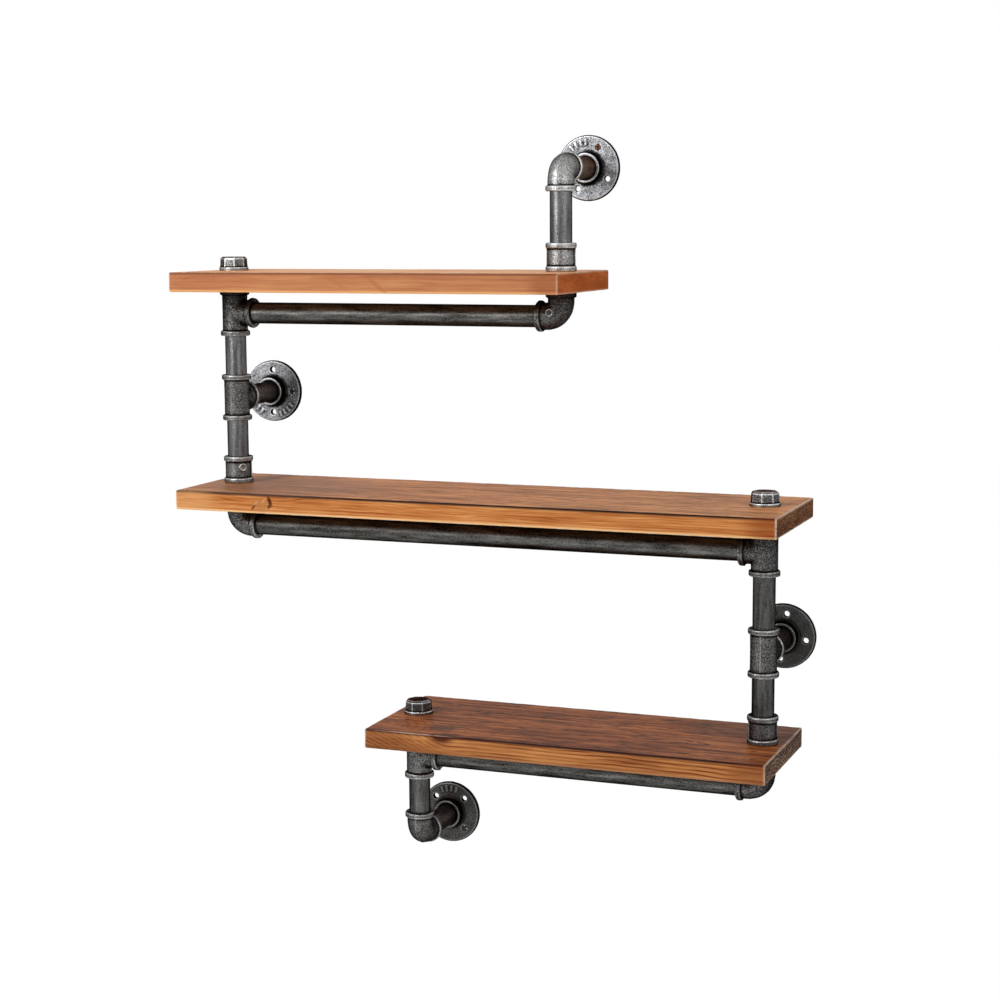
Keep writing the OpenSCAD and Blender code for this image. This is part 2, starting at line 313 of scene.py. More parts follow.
def cast_skin(
    node,
    add_marks=None,
    seam=None,
    ring=None,
    painted_shade_depth=0,
    voxel=CAST_VOXEL,
    rounding=CAST_ROUNDING,
    heights=CAST_STANDS,
):
    """A casting's skin from its solid: edges and inner corners rounded, marks raised, faces a
    little uneven.
    Its attributes proud and hollow say how far each point stands out or lies back. Given a depth,
    points high up under a board lose their proud share and gain a hollow one that fades over that
    depth, as painted shade from the board. seam is the axis across the two halves of the mould and
    the point that they meet at, and ring the place in x and z, in millimetres, of a plain raised
    ring."""
    skin = remeshed(node, add_marks, voxel)
    edges = rows(skin.edges, "vertices", 2, np.int32)
    points = smoothed(rows(skin.vertices, "co", 3), edges, rounding)
    if seam:
        from_centre = np.linalg.norm(points - seam[1], axis=1)[:, None]
        inside = np.clip((JUNCTION_R - from_centre) / JUNCTION_FADE, 0, 1)
        points = smoothed(points, edges, JUNCTION_ROUNDING, inside / 2)
    skin.vertices.foreach_set("co", points.ravel())
    skin.update()
    normals = rows(skin.vertices, "normal", 3)
    stands = []
    for passes, height in heights:
        stand = ((points - smoothed(points, edges, passes)) * normals).sum(axis=1) / height
        stands.append(np.clip(stand, -1, 1))
    stand = sum(stands) / len(stands)
    proud, hollow = np.clip(stand, 0, 1), np.clip(-stand, 0, 1)
    # Painted shade under the board: the proud edges are dimmed and the skin darkened near its top.
    if painted_shade_depth:
        depth = (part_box(node)[1].z - points[:, 2]) / painted_shade_depth
        proud = proud * (1 - np.exp(-((depth / PAINTED_SHADE_REACH) ** 2)))
        hollow = np.maximum(hollow, np.exp(-depth) / 2)
    if seam:
        flash = seam_rise(points, normals, *seam)
        points += normals * (flash * SEAM_HEIGHT)[:, None]
        proud = np.maximum(proud, flash * SEAM_PROUD)
    if ring:
        bead = ring_rise(points, normals, *ring)
        points += normals * (bead * RING_HEIGHT)[:, None]
        proud = np.maximum(proud, bead * RING_PROUD)
    for size, height in SAND_LUMPS:
        lumps = [noise.noise(Vector(point) / size) for point in points]
        points += normals * (np.array(lumps) * height)[:, None]
    points = np.clip(points, *(np.array(corner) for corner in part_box(node)))
    skin.vertices.foreach_set("co", points.ravel())
    for name, shares in (("proud", proud), ("hollow", hollow)):
        skin.attributes.new(name, "FLOAT", "POINT").data.foreach_set("value", shares)
    skin.update()
    return skin


PLATE_T = 6 * MM
BAR = Vector((2.6, 7.4, 1.1)) * MM
BAR_RING_R = 31.5 * MM
BAR_STEP = math.radians(12)


def on_plate(node, angle, radius):
    """The place on the front of a flange's plate at that angle and distance from its middle."""
    low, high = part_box(node)
    middle = Vector(((low.x + high.x) / 2, high.y - PLATE_T, (low.z + high.z) / 2))
    return middle + Vector((math.cos(angle), 0, math.sin(angle))) * radius


def raised_bars(node, groups):
    """Adds rows of plain raised bars round a flange's plate, each given as its middle angle and
    its count."""

    def add_bars(solid):
        for middle, count in groups:
            for i in range(count):
                angle = math.radians(middle) + (i - (count - 1) / 2) * BAR_STEP
                turned = Matrix.Rotation(-angle + math.pi / 2, 4, "Y")
                turned = turned @ Matrix.Rotation(math.pi / 2, 4, "X")
                placed = Matrix.Translation(on_plate(node, angle, BAR_RING_R))
                shaped = placed @ turned @ Matrix.Diagonal((*BAR, 1))
                bmesh.ops.create_cube(solid, size=1, matrix=shaped)

    return add_bars


# Walls start to be black where the skin faces forwards less than this, and a fade lower are all
# black.
WALL_FACING = 0.85
WALL_FADE = 0.3


def paint_wall_shade(skin):
    """Leaves what faces sideways on a flange black, such as its rim and the walls of its holes, as
    painted shade on the faces turned away from the front."""
    forwards = np.abs(rows(skin.vertices, "normal", 3)[:, 1])
    walls = np.clip((WALL_FACING - forwards) / WALL_FADE, 0, 1)
    for name, change in (("proud", -walls), ("hollow", walls)):
        data = skin.attributes[name].data
        shares = rows(data, "value", 1)[:, 0]
        data.foreach_set("value", np.clip(shares + change, 0, 1))


# The two flange finishes differ partly in wax and partly as painted light: the top and left
# flanges are lighter and the right and bottom ones darker, as the light falls from the top left.
lit_silvered_flange = iron(
    "silver_waxed_lit_cast_iron", "#a8a8ac", 0.46, rust=0, streaks=0.9, grit=(1.4, 3)
)
shaded_blackened_flange = iron("black_stained_shaded_cast_iron", "#6e6e6d", 0.34, rust=0.1, grit=(1.5, 2))
FLANGES = {
    "top_wall_flange": (lit_silvered_flange, ((113, 4),)),
    "left_wall_flange": (lit_silvered_flange, ((-128, 2), (-52, 4))),
    "right_wall_flange": (shaded_blackened_flange, ((118, 2),)),
    "bottom_wall_flange": (shaded_blackened_flange, ((92, 4),)),
}
for node, (finish, bars) in FLANGES.items():
    mesh = cast_skin(node, raised_bars(node, bars), heights=FLANGE_STANDS)
    paint_wall_shade(mesh)
    show(node + "_casting", mesh, finish, "flange", node)

# Screws
# Cross-recessed wood screws of plain steel hold the flanges to the wall, one at each hole that
# shows a head. They are driven flush, and the damp has browned them.

HOLE_RING_R = 28 * MM
HEAD_R = 3.5 * MM
HEAD_DOME = 0.7 * MM

# The dome's outline from its middle to its rim, as shares of its radius and its height.
HEAD_SHARES = ((0, 1), (0.6, 0.8), (0.9, 0.3), (1, 0))

HEAD_T = 2.2 * MM
SHANK_R = 2 * MM
SCREW_SIDES = 32
RECESS = Vector((1.0, 4.6, 2.4)) * MM


def cut_away(mesh, tool_mesh):
    """The mesh with the tool's shape cut out of it."""
    tool = linked("tool", tool_mesh)

    def cut(holder):
        modifier = holder.modifiers.new("cut", "BOOLEAN")
        modifier.operation = "DIFFERENCE"
        modifier.solver = "EXACT"
        modifier.use_self = True
        modifier.object = tool

    made = evaluated(mesh, cut)
    bpy.data.objects.remove(tool)
    return made


def turned_screw(node, degrees):
    """A screw in the hole of a flange at that angle, with its head a little proud of the plate."""
    turn = math.radians(degrees)
    screw = bmesh.new()
    profile = [(r * HEAD_R, z * HEAD_DOME) for r, z in HEAD_SHARES]
    profile += [(SHANK_R, -HEAD_T), (SHANK_R, -PLATE_T), (0, -PLATE_T)]
    points = [screw.verts.new((r, 0, z)) for r, z in profile]
    edges = [screw.edges.new(pair) for pair in zip(points, points[1:])]
    bmesh.ops.spin(
        screw,
        geom=points + edges,
        cent=(0, 0, 0),
        axis=(0, 0, 1),
        angle=math.tau,
        steps=SCREW_SIDES,
        use_merge=True,
        use_duplicate=False,
    )
    bmesh.ops.remove_doubles(screw, verts=screw.verts, dist=MERGE)
    bmesh.ops.recalc_face_normals(screw, faces=screw.faces)
    seat = on_plate(node, turn, HOLE_RING_R)
    facing = Matrix.Translation(seat) @ Matrix.Rotation(math.pi / 2, 4, "X")
    bmesh.ops.transform(screw, matrix=facing, verts=screw.verts)
    cross = bmesh.new()
    for quarter in (0, math.pi / 2):
        groove = facing @ Matrix.Rotation(quarter + turn, 4, "Z") @ Matrix.Diagonal((*RECESS, 1))
        bmesh.ops.create_cube(cross, size=1, matrix=groove)
    return cut_away(finished(screw, "turned"), finished(cross, "cross"))


rusty_screw = iron("browned_screw_steel", "#85614b", 0.35, rust=1)
dark_screw = iron("blackened_screw_steel", "#6a6a6a", 0.3, rust=0.3)
for place, degrees, finish in (
    ("top", 62, rusty_screw),
    ("left", 0, dark_screw),
    ("bottom", -45, dark_screw),
):
    screw = turned_screw(place + "_wall_flange", degrees)
    show(place + "_flange_screw", screw, finish, "flange")

# Pipes
# Steel pipe, three-quarter inch, cut to length, threaded at both ends and screwed up tight.
# It is stained black and brushed with silver wax along its length.

LEVELS = ("top", "middle", "bottom")
BRIGHT_RISERS = ("top_riser", "left_upper_riser", "left_lower_riser")
DARK_RISERS = ("right_upper_riser", "right_lower_riser", "bottom_riser")
BOARD_NIPPLES = [f"{place}_{kind}_nipple" for place in LEVELS for kind in ("coupling", "cap")]
DARK_NIPPLES = ("left_wall_nipple", "right_wall_nipple", "bottom_wall_nipple")
RAILS = [place + "_rail" for place in LEVELS]

UPRIGHT = {"brush": (5, 5, 40), "streaks": 1.1, "grit": (1.8, 1.0), "rough": 0.21}
INWARD = {"brush": (8, 50, 8), "streaks": 0.8, "grit": (1.8, 0.9), "rough": 0.27}
ALONG = {"brush": (48, 6.5, 6.5), "streaks": 0.9, "grit": (1.8, 0.9), "rough": 0.25}
# The pipe finishes differ partly in wax and rust and partly as painted light: the top and left
# risers are lighter and the right and bottom ones darker, as the light falls from the top left;
# the rails are darker as painted shade under the boards; and the browned wall nipple is lightened
# against the shade of the elbow and flange round it.
riser_finish = iron("waxed_steel_pipe", "#8a8a8c", 0.45, rust=0.1, **UPRIGHT)
dark_riser_finish = iron("black_waxed_shaded_steel_pipe", "#7a7a79", 0.38, rust=0.2, **UPRIGHT)
browned_finish = iron("browned_steel_pipe", "#c0a493", 0.62, rust=1, **INWARD)
nipple_finish = iron("dark_browned_steel_pipe", "#8a7f79", 0.4, rust=0.6, **INWARD)
rail_finish = iron("dark_steel_rail", "#9c9c98", 0.2, rust=0.1, **ALONG)
for nodes, finish in (
    ((*BRIGHT_RISERS, *BOARD_NIPPLES), riser_finish),
    (DARK_RISERS, dark_riser_finish),
    (("top_wall_nipple",), browned_finish),
    (DARK_NIPPLES, nipple_finish),
    (RAILS, rail_finish),
):
    for node in nodes:
        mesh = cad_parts[node].data
        mesh.materials.clear()
        mesh.materials.append(finish)

# Elbows and tees
# Malleable-iron fittings with a thick band round each mouth, screwed onto the pipe.
# Each was cast in two halves of a mould, which leave a thin seam down its middle.

# The depth over which painted shade under a board fades on the rail fittings.
PAINTED_SHADE_DEPTH = 15 * MM
ELBOW_RING = (-9.6, -171)

# The axis across the two halves of the mould, which is x or y.
ACROSS_WALL_FITTING = 0
ACROSS_RAIL_FITTING = 1

# The three fitting finishes differ partly in wax and rust and partly as painted light: the top
# wall elbow, highest in the light, is the lightest, and most fittings to the right, low down or
# under a board are the darkest.
bright_fitting = iron("bright_waxed_malleable_iron", "#aaaaa9", 0.5, rust=0.4)
fitting_finish = iron("waxed_malleable_iron", "#8c8c8b", 0.46, rust=0.1)
dark_fitting = iron("dark_waxed_malleable_iron", "#7a7978", 0.34, rust=0.1)
pipe_axis = (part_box("top_riser")[0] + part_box("top_riser")[1]) / 2


def fitting_centre(node):
    """Where the axes of an elbow or a tee cross: the box's middle, or half a box from its closed
    side."""
    low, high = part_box(node)
    centre = (low + high) / 2
    half = min(high - low) / 2
    centre.y = pipe_axis.y
    if "rail_elbow" in node:
        centre.x = high.x - half if node != "middle_rail_elbow" else low.x + half
        centre.z = low.z + half
    if "rail_tee" in node:
        centre.x = low.x + half if node != "middle_rail_tee" else high.x - half
    if node == "top_wall_elbow":
        centre.z = high.z - half
    if node == "bottom_wall_elbow":
        centre.z = low.z + half
    return np.array(centre)


WALL_FITTINGS = ("top_wall_elbow", "left_wall_tee", "right_wall_tee", "bottom_wall_elbow")
RAIL_FITTINGS = [f"{place}_rail_{kind}" for place in LEVELS for kind in ("tee", "elbow")]
FITTING_FINISHES = {
    "top_wall_elbow": bright_fitting,
    "middle_rail_elbow": fitting_finish,
    "bottom_rail_tee": fitting_finish,
}
for nodes, across, painted_shade_depth in (
    (WALL_FITTINGS, ACROSS_WALL_FITTING, 0),
    (RAIL_FITTINGS, ACROSS_RAIL_FITTING, PAINTED_SHADE_DEPTH),
):
    for node in nodes:
        ring = ELBOW_RING if node == "top_rail_elbow" else None
        mesh = cast_skin(node, seam=(across, fitting_centre(node)), ring=ring, painted_shade_depth=painted_shade_depth)
        finish = FITTING_FINISHES.get(node, dark_fitting)
        show(node + "_casting", mesh, finish, "fitting", node)

# Couplings
# Straight malleable-iron sleeves that stand on the boards and clamp them from above.
# A rib down each side gives the pipe wrench a grip.

# The couplings are lighter the higher they stand, partly with more wax and partly as painted light
# from above.
lit_silver_fitting = iron("silver_waxed_lit_malleable_iron", "#a6a6a6", 0.45, rust=0)
COUPLINGS = {
    "top": (lit_silver_fitting, None),
    "middle": (fitting_finish, (-426, -372)),
    "bottom": (dark_fitting, (248, -653)),
}
for place, (finish, ring) in COUPLINGS.items():
    node = place + "_coupling"
    show(node + "_casting", cast_skin(node, ring=ring), finish, "fitting", node)

# Caps
# Eight-sided caps of malleable iron, cast, stained and rubbed bright at their corners.
# They close the pipe on top of each board, and are screwed down to clamp it.

CAP_VOXEL = 0.4 * MM
CAP_ROUNDING = 2
CAP_STANDS = ((20, 0.25 * MM), (4, 0.035 * MM))
RUBBED = {"rust": 0.8, "grit": (1.5, 1.6), "rough": 0.2, "aslant": "#7a5646"}
# The bottom cap's darker copy of the finish is partly less wax and partly painted shade low down.
rubbed_cap = iron("rubbed_malleable_iron", "#b4b4b4", 0.24, **RUBBED)
dark_cap = iron("dark_rubbed_malleable_iron", "#a0a0a0", 0.24, **RUBBED)
for place, finish in (("top", rubbed_cap), ("middle", rubbed_cap), ("bottom", dark_cap)):
    node = place + "_cap"
    mesh = cast_skin(node, voxel=CAP_VOXEL, rounding=CAP_ROUNDING, heights=CAP_STANDS)
    show(node + "_casting", mesh, finish, "fitting", node)

# Boards
# Solid pine, planed, stained brown over orange and finished with a thin satin lacquer.
# The edges are eased by hand, and the corners are rubbed back to pale wood.

EASE = 1.5 * MM
EASE_STEPS = 3
LOOPS_ALONG = 4 * MM
LOOPS_ACROSS = 12 * MM
EDGE_LOOPS = (2.2 * MM, 3 * MM, 3.8 * MM, 5 * MM)
LOOP_MERGE = 0.01 * MM
WEAR_REACH = 1.5 * MM
WEAR_PATCH = 9 * MM
WEAR_LEAST = 0.1
WEAR_RISE = 1.6
LINE_REACH = 2.7 * MM
DENT = 0.5 * MM
DENT_FROM = 0.45
DRILL_PLAY = 0.65 * MM
DRILL_SIDES = 48


def eased_block(low, high):
    """A block with rounded edges, cut into faces small enough to wear."""
    bm = bmesh.new()
    bmesh.ops.create_cube(bm, size=1)
    bmesh.ops.scale(bm, vec=high - low, verts=bm.verts)
    bmesh.ops.translate(bm, vec=(low + high) / 2, verts=bm.verts)
    bmesh.ops.bevel(
        bm,
        geom=bm.edges[:],
        offset=EASE,
        offset_type="OFFSET",
        segments=EASE_STEPS,
        profile=0.5,
        affect="EDGES",
        material=-1,
    )
    for axis, spacing in enumerate((LOOPS_ALONG, LOOPS_ACROSS, LOOPS_ACROSS)):
        steps = round((high[axis] - low[axis]) / spacing)
        cuts = [low[axis] + (high[axis] - low[axis]) * i / steps for i in range(1, steps)]
        cuts += [low[axis] + d for d in EDGE_LOOPS] + [high[axis] - d for d in EDGE_LOOPS]
        across = Vector([0, 0, 0])
        across[axis] = 1
        for cut in cuts:
            bmesh.ops.bisect_plane(
                bm,
                geom=bm.verts[:] + bm.edges[:] + bm.faces[:],
                dist=LOOP_MERGE,
                plane_co=across * cut,
                plane_no=across,
            )
    return bm


def worn_board(node):
    """A board with rounded, dented edges. Its attributes are pale where the corners are rubbed
    bare, dark along the top of the front and mark a painted highlight along the bottom of the
    front."""
    low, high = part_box(node)
    bm = eased_block(low, high)
    pale, dark, lower = (bm.verts.layers.float.new(name) for name in ("pale", "dark", "lower"))
    bm.normal_update()
    for vertex in bm.verts:
        x, y, z = (min(vertex.co[i] - low[i], high[i] - vertex.co[i]) for i in range(3))
        rough = noise.noise(vertex.co / WEAR_PATCH) * 0.5 + 0.5
        near_end = math.exp(-((min(math.hypot(x, y), math.hypot(x, z)) / WEAR_REACH) ** 2))
        near_side = math.exp(-((math.hypot(y, z) / LINE_REACH) ** 4))
        front = vertex.co.y < pipe_axis.y
        upper = vertex.co.z > (low.z + high.z) / 2
        vertex[pale] = near_end * min(1, WEAR_LEAST + WEAR_RISE * rough)
        vertex[dark] = near_side * front * upper
        # A painted highlight along the rounded bottom edge of the front.
        vertex[lower] = near_side * front * (not upper)
        depth = max(near_end, near_side) * max(0, rough - DENT_FROM) * 2
        vertex.co -= vertex.normal * DENT * depth
    return finished(bm, node + "_shape")


def drill_bits(columns):
    """A rod for each hole, a little wider than the pipe that passes through."""
    bits = bmesh.new()
    for column in columns:
        low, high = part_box(column)
        bore = (high.x - low.x) / 2 + DRILL_PLAY
        bmesh.ops.create_cone(
            bits,
            cap_ends=True,
            segments=DRILL_SIDES,
            radius1=bore,
            radius2=bore,
            depth=(high.z - low.z) * 2,
            matrix=Matrix.Translation((low + high) / 2),
        )
    return finished(bits, "bits")


# The patterns of the wood: lengths along and across the board in millimetres, detail, roughness
# and distortion.
PINE = {
    "wander": (170, 46, 2, 0.6, 0),
    "late": (90, 7, 2, 0.6, 0),
    "flame": (75, 4.5, 4, 0.6, 0.6),
    "fibre": (95, 1.5, 4, 0.7, 0),
    "cloud": (120, 26, 3, 0.6, 0),
    "pores": (26, 1.5, 3, 0.75, 0),
    "worn": (7, 3, 3, 0.7, 0),
}
DEPTH_DRAWN = 4

# How dark the wood is at the start and end of a growth ring, and between them.
RING_ENDS = (0.1, 0.15)
RING_STOPS = ((0.55, 0.15), (0.88, 1))
LEAN_BLEND = 0.02
LATE_RANGE = {"From Min": 0.38, "From Max": 0.62, "To Min": 0.15}
PORE_RANGE = {"From Min": 0.56, "From Max": 0.68}
WORN_RANGE = {"From Min": 0.3, "From Max": 0.44}
MIDDLE_SHADE = 0.38
MIDDLE_STOP = 0.45
MARK_RANGE = {"interpolation_type": "SMOOTHSTEP", "From Min": 1.5, "From Max": 0.5}
BARE_PINE = "#ffe6cc"
LACQUER_ROUGH = {"To Min": 0.42, "To Max": 0.6}
LACQUER_SHEEN = 0.06
FIBRE_BUMP = {"Strength": 0.5, "Distance": 0.3 * MM, "invert": True}


def grey(share):
    """A grey of that share of white."""
    return (share, share, share, 1)


def ellipse(tree, place, centre, radii, turn, strength):
    """That strength inside an ellipsoid that is given in millimetres and degrees, fading to 0
    round it."""
    settings = {
        "vector_type": "TEXTURE",
        "Vector": place,
        "Location": [c * MM for c in centre],
        "Rotation": (0, math.radians(turn), 0),
        "Scale": [r * MM for r in radii],
    }
    inside = add(tree, "ShaderNodeMapping", settings).outputs["Vector"]
    length = {"operation": "LENGTH", 0: inside}
    reach = add(tree, "ShaderNodeVectorMath", length).outputs["Value"]
    fade = {"Value": reach, "To Max": strength, **MARK_RANGE}
    return add(tree, "ShaderNodeMapRange", fade).outputs["Result"]


def late_wood(tree, place, wood, wander, strength):
    """The dark part of each growth ring round the pith, which can lie outside the board. Left of
    the place where a board leans, its rings rise."""
    lean_x, lean = wood.get("lean", (0, 0))
    rise = add(tree, "ShaderNodeSeparateXYZ", {"Vector": place}).outputs["X"]
    for terms in (
        {"operation": "SUBTRACT", 1: lean_x * MM},
        {"operation": "SMOOTH_MIN", 1: 0, 2: LEAN_BLEND},
        {"operation": "MULTIPLY", 1: lean},
    ):
        rise = add(tree, "ShaderNodeMath", {0: rise, **terms}).outputs[0]
    leaning = add(tree, "ShaderNodeCombineXYZ", {"Z": rise}).outputs["Vector"]
    offset = place
    for operation, term in (
        ("SUBTRACT", (0, *wood["pith"])),
        ("ADD", leaning),
        ("MULTIPLY", (0, 1, 1)),
    ):
        terms = {"operation": operation, 0: offset, 1: term}
        offset = add(tree, "ShaderNodeVectorMath", terms).outputs["Vector"]
    length = {"operation": "LENGTH", 0: offset}
    ring = add(tree, "ShaderNodeVectorMath", length).outputs["Value"]
    terms = {"operation": "MULTIPLY", 0: wander, 1: wood["wander"]}
    wandered = add(tree, "ShaderNodeMath", terms).outputs[0]
    for terms in (
        {"operation": "MULTIPLY_ADD", 1: per(wood["ring"]), 2: wandered},
        {"operation": "FRACT"},
    ):
        ring = add(tree, "ShaderNodeMath", {0: ring, **terms}).outputs[0]
    ramp = add(tree, "ShaderNodeValToRGB", {"Fac": ring})
    stops = ramp.color_ramp.elements
    stops[0].color, stops[1].color = (grey(share) for share in RING_ENDS)
    for stop, share in RING_STOPS:
        stops.new(stop).color = grey(share)
    strong = add(tree, "ShaderNodeMapRange", {"Value": strength, **LATE_RANGE}).outputs["Result"]
    terms = {"operation": "MULTIPLY", 0: ramp.outputs["Color"], 1: strong}
    return add(tree, "ShaderNodeMath", terms).outputs[0]


def stained_pine(name, wood):
    """Pine stained over its growth rings, which show as darker lines, with knots, and rubbed bare
    at its corners. The stain took unevenly, and a thin lacquer gives it a low sheen, but soaks
    into the ends."""
    made, tree, shader = new_material(name)
    texture = add(tree, "ShaderNodeTexCoord", {}).outputs
    place = texture["Object"]

    def pattern(layer):
        """Noise drawn out along the board. It is drawn coarser from front to back, because the
        tops are seen too flat to show it otherwise."""
        along, across, detail, rough, warp = PINE[layer]
        scale = (per(along), per(across * DEPTH_DRAWN), per(across))
        drawn = add(tree, "ShaderNodeMapping", {"Vector": place, "Scale": scale}).outputs["Vector"]
        settings = {"Scale": 1, "Detail": detail, "Roughness": rough, "Distortion": warp}
        return add(tree, "ShaderNodeTexNoise", {"Vector": drawn, **settings}).outputs["Fac"]

    fibre = pattern("fibre")
    square = {"operation": "MULTIPLY", 0: texture["Normal"], 1: texture["Normal"]}
    squared = add(tree, "ShaderNodeVectorMath", square).outputs["Vector"]
    facing = add(tree, "ShaderNodeSeparateXYZ", {"Vector": squared}).outputs
    pores, worn, dull, sheen = (
        add(tree, "ShaderNodeMapRange", spread).outputs["Result"]
        for spread in (
            {"Value": pattern("pores"), **PORE_RANGE},
            {"Value": pattern("worn"), "To Max": wood["worn"], **WORN_RANGE},
            {"Value": fibre, **LACQUER_ROUGH},
            {"Value": facing["X"], "To Min": LACQUER_SHEEN, "To Max": 0},
        )
    )
    late = late_wood(tree, place, wood, pattern("wander"), pattern("late"))
    layers = (late, pattern("flame"), fibre, pattern("cloud"), pores)
    stains = []
    for face in ("front", "top", "end"):
        light, middle, deep = (linear(tone) for tone in wood[face])
        shares = wood[face + "_mix"]
        # Flame, fibre and cloud are a half on average, which is taken off again.
        shade = MIDDLE_SHADE - 0.5 * sum(shares[1:4])
        for layer, share in zip(layers, shares):
            terms = {"operation": "MULTIPLY_ADD", 0: layer, 1: share, 2: shade}
            shade = add(tree, "ShaderNodeMath", terms).outputs[0]
        ramp = add(tree, "ShaderNodeValToRGB", {"Fac": shade})
        stops = ramp.color_ramp.elements
        stops[0].color, stops[1].color = light, deep
        stops.new(MIDDLE_STOP).color = middle
        stains.append(ramp.outputs["Color"])
    dark, lower, pale = (
        add(tree, "ShaderNodeAttribute", {"attribute_name": layer}).outputs["Fac"]
        for layer in ("dark", "lower", "pale")
    )
    terms = {"operation": "MULTIPLY", 0: pale, 1: worn}
    bare = add(tree, "ShaderNodeMath", terms).outputs[0]
    colour, *faces = stains
    for tone, share in (
        (faces[0], facing["Z"]),
        (faces[1], facing["X"]),
        (wood["edge"], dark),
        (wood["foot"], lower),
        *((tone, ellipse(tree, place, *shape)) for tone, *shape in wood["marks"]),
        (BARE_PINE, bare),
    ):
        mix = {"data_type": "RGBA", SHARE: share, UNDER: colour, LAID: tone}
        colour = add(tree, "ShaderNodeMix", mix).outputs[MIXED]
    relief = add(tree, "ShaderNodeBump", {"Height": fibre, **FIBRE_BUMP}).outputs["Normal"]
    tree.links.new(colour, shader.inputs["Base Color"])
    tree.links.new(dull, shader.inputs["Roughness"])
    tree.links.new(relief, shader.inputs["Normal"])
    tree.links.new(sheen, shader.inputs["Specular IOR Level"])
    return made


# The y of the boards' fronts, in millimetres.
FRONT = -201

# pith is where the middle of the log lies in y and z, ring the width of a growth ring in
# millimetres, wander how many rings it wanders by, and lean the place in x, in millimetres, that
# its rings rise to the left of, and how steeply.
# Each face has its light, middle and dark tone, and a mix of how strongly late wood, flame, fibre,
# cloud and pores darken it. edge is the colour along the top of the front, and the tone along its
# bottom edge is a painted highlight on the rounded edge.
# worn is how bare the corners are. Each mark has its colour, its centre and radii in
# millimetres, its turn in degrees and its strength.
BOARDS = {
    "top": dict(
        pith=(-0.19, -0.30),
        ring=5.5,
        wander=4,
        front=("#cb915f", "#b6764f", "#925036"),
        front_mix=(0.25, 0.4, 0.8, 0.9, 0),
        # The top board's top tones hold a painted sheen: seen nearly edge on, its top is lighter
        # than its stain.
        top=("#ffdba4", "#ffb580", "#cd8458"),
        top_mix=(0.1, 1.0, 1.2, 0.8, 0.1),
        end=("#f18c4e", "#c66a38", "#9c502c"),
        end_mix=(0.1, 0.2, 0.6, 1.4, 0),
        edge="#85523a",
        worn=0.55,
        foot="#edae74",
        marks=(
            ("#b4693c", (-252, FRONT, -133), (20, 4, 2.2), 30, 0.35),
            ("#a85f36", (-196, FRONT, -137), (16, 4, 2.6), 38, 0.4),
            ("#8a4426", (20, FRONT, -135), (24, 3, 16), 0, 0.5),
        ),
    ),
    "middle": dict(
        pith=(-0.16, -0.53),
        ring=3.8,
        wander=8,
        front=("#dc9f64", "#c07941", "#8c4319"),
        front_mix=(0.45, 0.6, 1.8, 1.1, 0.1),
        top=("#e9a169", "#c58453", "#8a5a36"),
        top_mix=(0.2, 0.8, 2.8, 0.8, 0.8),
        end=("#b07c5c", "#815942", "#40281d"),
        end_mix=(0.7, 0.8, 3.0, 1.2, 0.6),
        edge="#180c0e",
        worn=1.0,
        foot="#f6c58c",
        marks=(
            ("#e6b078", (-455, FRONT, -404), (32, 4, 16), 0, 0.35),
            ("#b27648", (-355, FRONT, -405), (10, 4, 8), 0, 0.75),
            ("#e9b684", (-352, FRONT, -400), (1, 3, 4), 40, 0.35),
            ("#e9b684", (-364, FRONT, -405), (1, 3, 5), 42, 0.35),
            ("#63300f", (-366, FRONT, -408.5), (1.4, 3, 4), 42, 0.9),
            ("#4a1c0a", (-343.5, FRONT, -400.5), (2.4, 3, 6.5), -20, 0.95),
            ("#4a1c0a", (-344.5, FRONT, -407), (2, 3, 3), 30, 0.8),
            ("#7e6054", (-360, -120, -391), (120, 90, 5), 0, 0.5),
            ("#7c3513", (287, FRONT, -403), (34, 4, 15), 0, 0.6),
        ),
    ),
    "bottom": dict(
        pith=(-0.18, -0.80),
        ring=4.8,
        wander=3.5,
        lean=(-118, 0.42),
        front=("#d5975d", "#b27442", "#70391d"),
        front_mix=(0.9, 0.8, 1.4, 0.8, 0.1),
        top=("#ba7240", "#90512b", "#4f2918"),
        top_mix=(0.3, 1.0, 2.6, 1.0, 1.6),
        end=("#c0a694", "#8a7060", "#42312a"),
        end_mix=(0.9, 0.8, 2.8, 1.0, 0.8),
        edge="#2c1414",
        worn=0.8,
        foot="#a87652",
        marks=(
            ("#6f3a20", (-200, FRONT, -688), (40, 4, 16), 0, 0.45),
            ("#6a3418", (-170, FRONT, -697), (70, 4, 6), 0, 0.5),
            ("#3d140c", (-120, FRONT, -674), (16, 8, 9), 0, 0.95),
            # A pale line along the left of the front's top edge: partly worn wood and partly a
            # painted highlight.
            ("#dfb9a8", (-155, FRONT, -674), (52, 1.2, 1.2), 0, 0.65),
            ("#4a2e22", (-133, -165, -674), (18, 13, 6), 0, 0.75),
            ("#6e3016", (270, FRONT, -686), (32, 4, 15), 0, 0.45),
            ("#4a3022", (240, -30, -674), (60, 60, 5), 0, 0.5),
        ),
    ),
}
for place, wood in BOARDS.items():
    node = place + "_board"
    bits = drill_bits([place + "_coupling_nipple", place + "_cap_nipple"])
    mesh = cut_away(worn_board(node), bits)
    show(node + "_pine", mesh, stained_pine(place + "_stained_pine", wood), "board", node)

# Floor and backdrop
# A plain painted floor well below the unit, as it hangs on a wall.
# It looks white wherever the camera sees it, with only a trace of shadow.

FLOOR_DROP = 0.9
FLOOR_RADIUS = 12
FLOOR_SIDES = 96
FLOOR_PAINT = "#e6e4e0"
FLOOR_ROUGH = 0.9
WHITE = "#ffffff"
SHADOW_SHARE = 0.06

# A little over 1, to make up for the share that the lit paint takes.
FLOOR_WHITE = 1.05

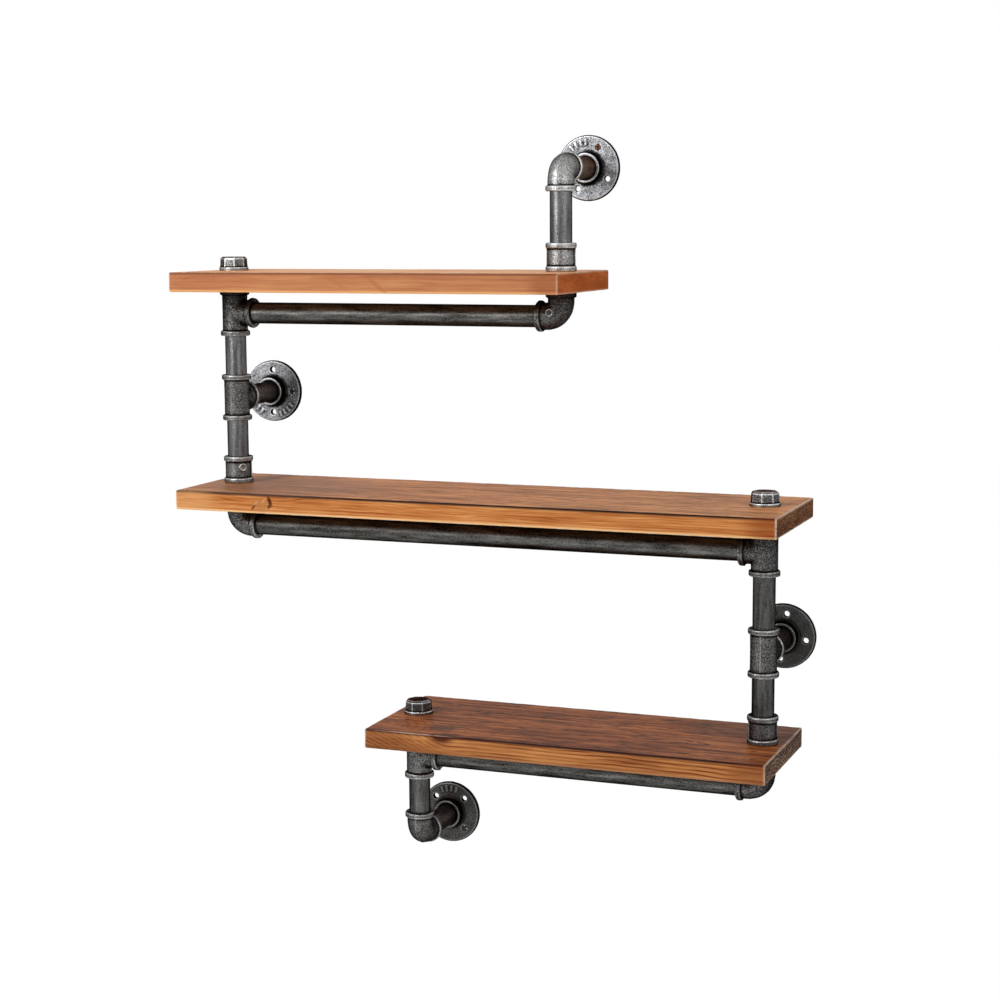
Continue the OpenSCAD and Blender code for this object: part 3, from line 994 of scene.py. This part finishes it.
ground = bmesh.new()
bmesh.ops.create_circle(
    ground,
    cap_ends=True,
    segments=FLOOR_SIDES,
    radius=FLOOR_RADIUS,
    matrix=Matrix.Translation((0, 0, cad_box[0].z - FLOOR_DROP)),
)
floor = linked("floor", finished(ground, "floor"))


def seen_directly(tree):
    """1 for a ray that shows the background itself: from the camera, off a gloss or through
    glass."""
    path = add(tree, "ShaderNodeLightPath", {}).outputs
    seen = path["Is Camera Ray"]
    for ray in ("Is Glossy Ray", "Is Transmission Ray"):
        terms = {"operation": "MAXIMUM", 0: seen, 1: path[ray]}
        seen = add(tree, "ShaderNodeMath", terms).outputs[0]
    return seen


paint, tree, lit = new_material("white_floor_paint")
lit.inputs["Base Color"].default_value = linear(FLOOR_PAINT)
lit.inputs["Roughness"].default_value = FLOOR_ROUGH
glow = {"Color": WHITE, "Strength": FLOOR_WHITE}
white = add(tree, "ShaderNodeEmission", glow).outputs[0]
terms = {"operation": "MULTIPLY", 0: seen_directly(tree), 1: 1 - SHADOW_SHARE}
share = add(tree, "ShaderNodeMath", terms).outputs[0]
mixed = add(tree, "ShaderNodeMixShader", {0: share, 1: lit.outputs[0], 2: white}).outputs[0]
tree.links.new(mixed, tree.nodes["Material Output"].inputs["Surface"])
floor.data.materials.append(paint)

# Studio light
# A tall soft box at the front left, a weaker one at the right and a low one in front.
# The room round them is an even white, which lights little and shows in every gloss.

ROOM_LIGHT = 0.3

# Place, target, width and height in metres, and power in watts.
SOFT_BOXES = {
    "key_box": ((-1.0, -1.75, 0.56), (-0.05, 0, -0.3), 0.45, 1.7, 29),
    "side_box": ((1.9, -1.5, 0.65), (0, 0, -0.3), 0.35, 1.5, 13),
    "low_box": ((0.1, -1.6, -1.65), (0, 0, -0.4), 1.5, 0.35, 7),
}

world = bpy.data.worlds.new("white_room")
bpy.context.scene.world = world
world.use_nodes = True
tree = world.node_tree
background = tree.nodes["Background"].inputs
background["Color"].default_value = linear(WHITE)
rays = {"Value": seen_directly(tree), "To Min": ROOM_LIGHT, "To Max": 1}
room = add(tree, "ShaderNodeMapRange", rays).outputs["Result"]
tree.links.new(room, background["Strength"])
for name, (place, target, width, height, power) in SOFT_BOXES.items():
    lamp = bpy.data.lights.new(name, "AREA")
    lamp.shape = "RECTANGLE"
    lamp.size = width
    lamp.size_y = height
    lamp.energy = power
    box = linked(name, lamp)
    box.location = place
    box.rotation_euler = (Vector(target) - Vector(place)).to_track_quat("-Z", "Y").to_euler()
    box.visible_camera = False

# Camera
# It stands to the right of the unit, a little above its middle, and looks slightly down.
# Its place, turns and focal length were fitted to the photo's edges, together with the sizes.

IMAGE_PIXELS = 1000
FOCAL_PIXELS = 2026.449
SENSOR_WIDTH = 36
CAMERA_PLACE = Vector((0.809173, -2.379884, -0.062290))
CAMERA_YAW = 0.37232
CAMERA_PITCH = -0.13721
CAMERA_ROLL = -0.00662

forward = Vector(
    (
        -math.sin(CAMERA_YAW) * math.cos(CAMERA_PITCH),
        math.cos(CAMERA_YAW) * math.cos(CAMERA_PITCH),
        math.sin(CAMERA_PITCH),
    )
)
sideways = Vector((math.cos(CAMERA_YAW), math.sin(CAMERA_YAW), 0))
upward = sideways.cross(forward)
right = math.cos(CAMERA_ROLL) * sideways + math.sin(CAMERA_ROLL) * upward
up = math.cos(CAMERA_ROLL) * upward - math.sin(CAMERA_ROLL) * sideways
lens = bpy.data.cameras.new("camera")
lens.sensor_width = SENSOR_WIDTH
lens.lens = FOCAL_PIXELS * SENSOR_WIDTH / IMAGE_PIXELS
camera = linked("camera", lens)
turned = Matrix((right, up, -forward)).transposed().to_4x4()
camera.matrix_world = Matrix.Translation(CAMERA_PLACE) @ turned
bpy.context.scene.camera = camera
bpy.context.scene.view_settings.view_transform = "Standard"
